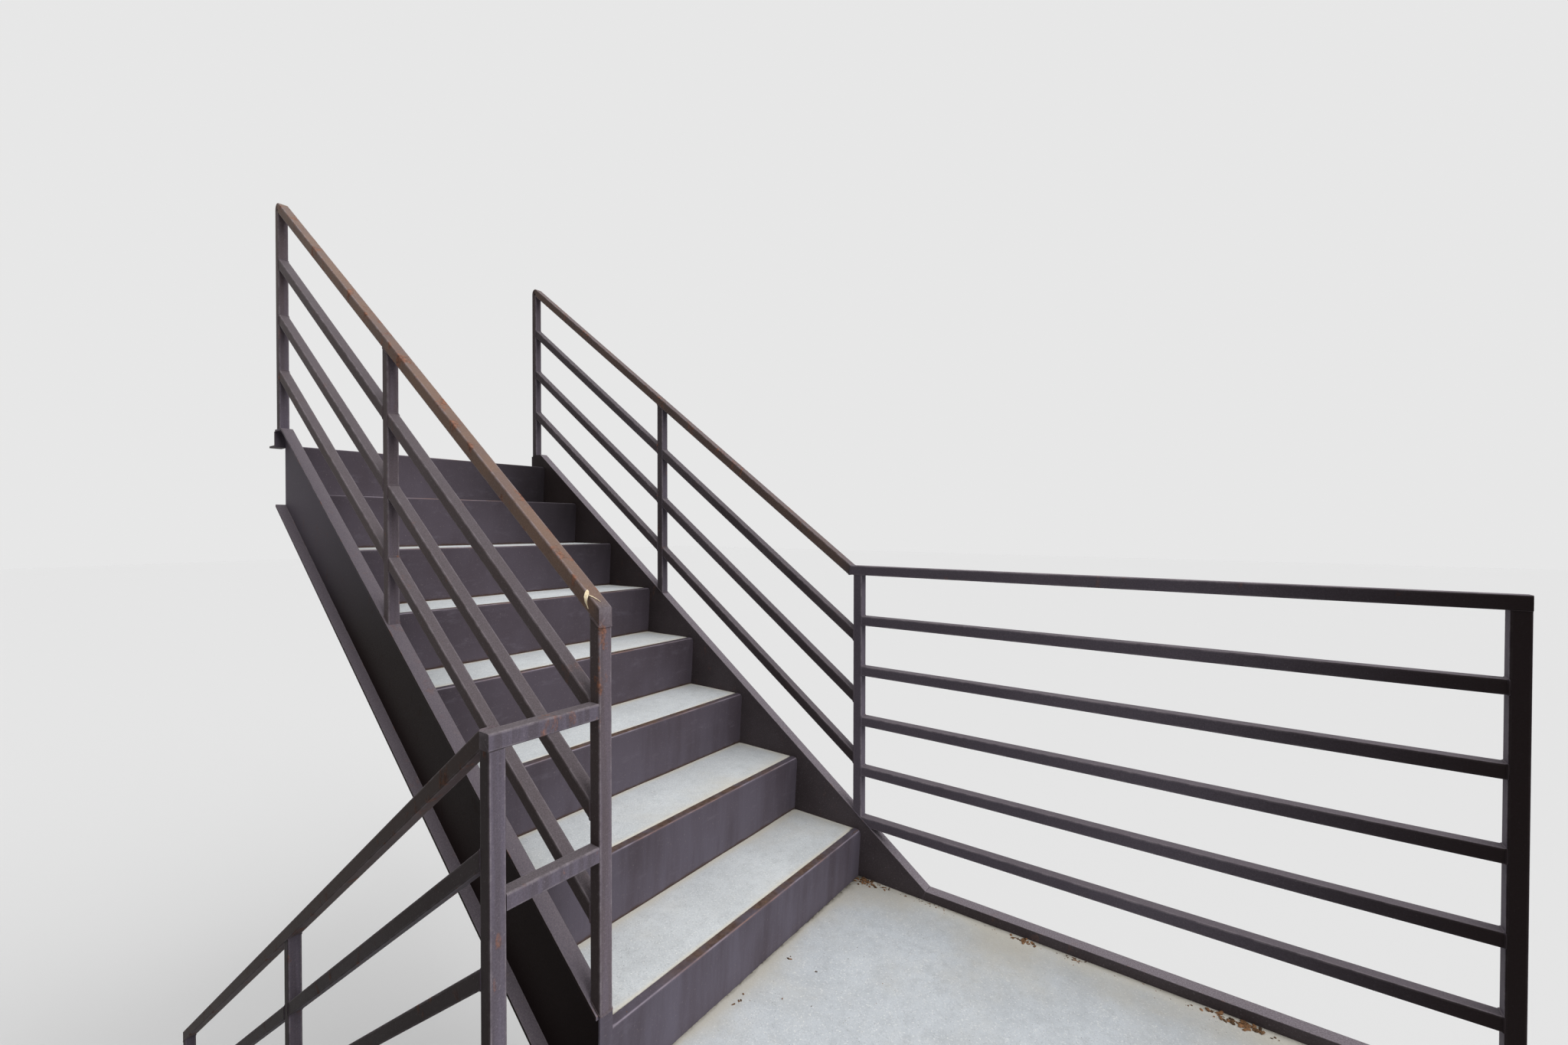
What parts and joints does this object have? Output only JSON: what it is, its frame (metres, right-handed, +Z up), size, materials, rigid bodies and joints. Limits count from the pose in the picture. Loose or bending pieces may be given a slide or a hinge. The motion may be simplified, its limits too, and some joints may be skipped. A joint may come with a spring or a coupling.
{
  "type": "two-flight outdoor steel stair with half landing",
  "caption": "Outdoor steel stair that turns back at a half landing: channel stringers, concrete-filled steps, square tube rails, columns under the landing.",
  "frame": {"origin": "on the floor, below the middle of the stair's overall length and width", "axes": "+X along the flights from the lower foot to the landing's wall end, +Y across them to the upper flight's side, +Z up"},
  "size_m": [3.7494, 2.4196, 3.9617],
  "materials": {
    "painted_steel": "dark purple-brown paint, satin, dusty on top",
    "rail_steel": "dark purple-brown paint, satin, worn to rust on the handrail",
    "concrete": "pale grey trowelled concrete with fine pits"
  },
  "bodies": {
    "root": {"upper_stringer_wall_side": "painted_steel", "upper_stringer_well_side": "painted_steel", "lower_stringer_well_side": "painted_steel", "lower_stringer_outer_side": "painted_steel", "upper_carrier_angles": "painted_steel", "lower_carrier_angles": "painted_steel", "upper_risers": "painted_steel", "lower_risers": "painted_steel", "upper_tread_pans": "painted_steel", "lower_tread_pans": "painted_steel", "landing_edge_wall_side": "painted_steel", "landing_edge_outer_side": "painted_steel", "landing_header": "painted_steel", "landing_end_channel": "painted_steel", "landing_joists": "painted_steel", "landing_pan": "painted_steel", "column_wall_front": "painted_steel", "column_wall_back": "painted_steel", "column_outer_front": "painted_steel", "column_outer_back": "painted_steel", "upper_cross_angle": "painted_steel", "upper_lug_wall_side": "painted_steel", "upper_lug_well_side": "painted_steel", "upper_rail_wall_side": "rail_steel", "upper_rail_well_side": "rail_steel", "landing_rail_wall_side": "rail_steel", "well_guard": "rail_steel", "lower_rail_well_side": "rail_steel", "lower_rail_outer_side": "rail_steel", "landing_rail_outer_side": "rail_steel", "upper_tread_1": "concrete", "upper_tread_2": "concrete", "upper_tread_3": "concrete", "upper_tread_4": "concrete", "upper_tread_5": "concrete", "upper_tread_6": "concrete", "upper_tread_7": "concrete", "lower_tread_1": "concrete", "lower_tread_2": "concrete", "lower_tread_3": "concrete", "lower_tread_4": "concrete", "lower_tread_5": "concrete", "lower_tread_6": "concrete", "lower_tread_7": "concrete", "landing_slab": "concrete"}
  },
  "joints": []
}
